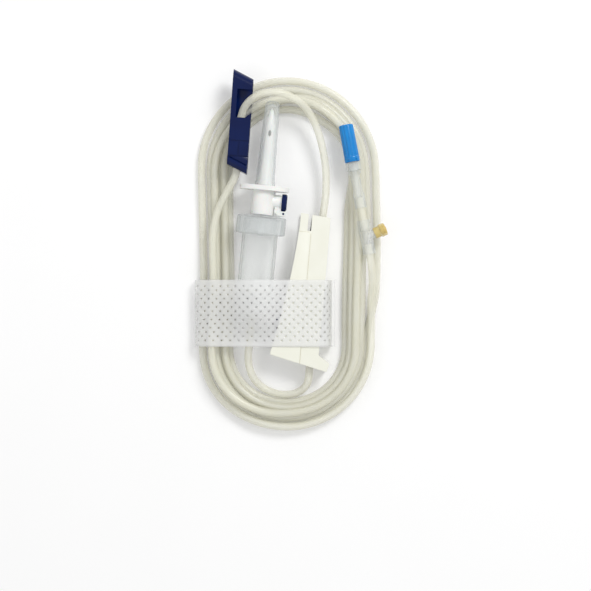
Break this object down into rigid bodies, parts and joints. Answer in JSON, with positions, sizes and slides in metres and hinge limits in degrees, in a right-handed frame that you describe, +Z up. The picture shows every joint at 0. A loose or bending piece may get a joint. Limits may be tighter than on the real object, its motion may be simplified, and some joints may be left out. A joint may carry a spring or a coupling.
{
  "type": "iv infusion set",
  "caption": "Coiled gravity infusion set with spike, drip chamber, roller clamp, on-off clamp, Y-site and capped luer lock, held by a film band.",
  "frame": {"origin": "on the surface the set lies on, under the middle of the box of its moulded pieces and band", "axes": "+Y along the hank towards the spike's tip, +X towards the Y-site, +Z up from the surface"},
  "size_m": [0.1008, 0.1928, 0.0258],
  "materials": {
    "white_plastic": "satin moulded ABS",
    "clear_plastic": "clear glossy",
    "navy_plastic": "glossy moulded polypropylene",
    "cream_plastic": "satin moulded",
    "azure_plastic": "satin moulded",
    "amber_plastic": "translucent",
    "septum_rubber": "matt",
    "filter_membrane": "fine mesh",
    "pvc_tubing": "translucent, slightly yellow",
    "band_film": "thin perforated film"
  },
  "bodies": {
    "set": {"spike_body": "white_plastic", "vent_filter": "filter_membrane", "chamber_top": "clear_plastic", "drip_chamber": "clear_plastic", "fluid_filter": "filter_membrane", "clamp_body": "cream_plastic", "pinch_clamp": "navy_plastic", "y_site_body": "clear_plastic", "port_housing": "amber_plastic", "port_septum": "septum_rubber", "luer_body": "clear_plastic", "luer_tube": "pvc_tubing", "retaining_band": "band_film", "tube_hank": "pvc_tubing", "tube_from_chamber": "pvc_tubing", "tube_arc": "pvc_tubing", "tube_in_clamp": "pvc_tubing", "tube_to_y_site": "pvc_tubing"},
    "spike_cap": {"spike_cap": "clear_plastic"},
    "vent_cap": {"vent_cap": "navy_plastic"},
    "roller": {"clamp_roller": "navy_plastic"},
    "luer_cap": {"luer_cap": "azure_plastic"},
    "luer_collar": {"luer_collar": "clear_plastic"}
  },
  "joints": [
    {"name": "spike_cap_pull", "type": "slide", "parent": "set", "child": "spike_cap", "axis": [0.0958, 0.9954, 0], "range_m": [0, 0.05]},
    {"name": "vent_cap_hinge", "type": "hinge", "parent": "set", "child": "vent_cap", "pos_m": [-0.00444, 0.0033, 0.0129], "axis": [0, 0, -1], "range_deg": [0, 70]},
    {"name": "roller_travel", "type": "slide", "parent": "set", "child": "roller", "axis": [0.1723, 0.985, 0], "range_m": [-0.005, 0.0396], "deforming": ["tube_in_clamp"]},
    {"name": "luer_cap_pull", "type": "slide", "parent": "set", "child": "luer_cap", "axis": [-0.1822, 0.9833, 0], "range_m": [0, 0.03]},
    {"name": "luer_collar_turn", "type": "hinge", "parent": "set", "child": "luer_collar", "pos_m": [0.03912, -0.00868, 0.0121], "axis": [-0.1822, 0.9833, 0], "continuous": true}
  ]
}
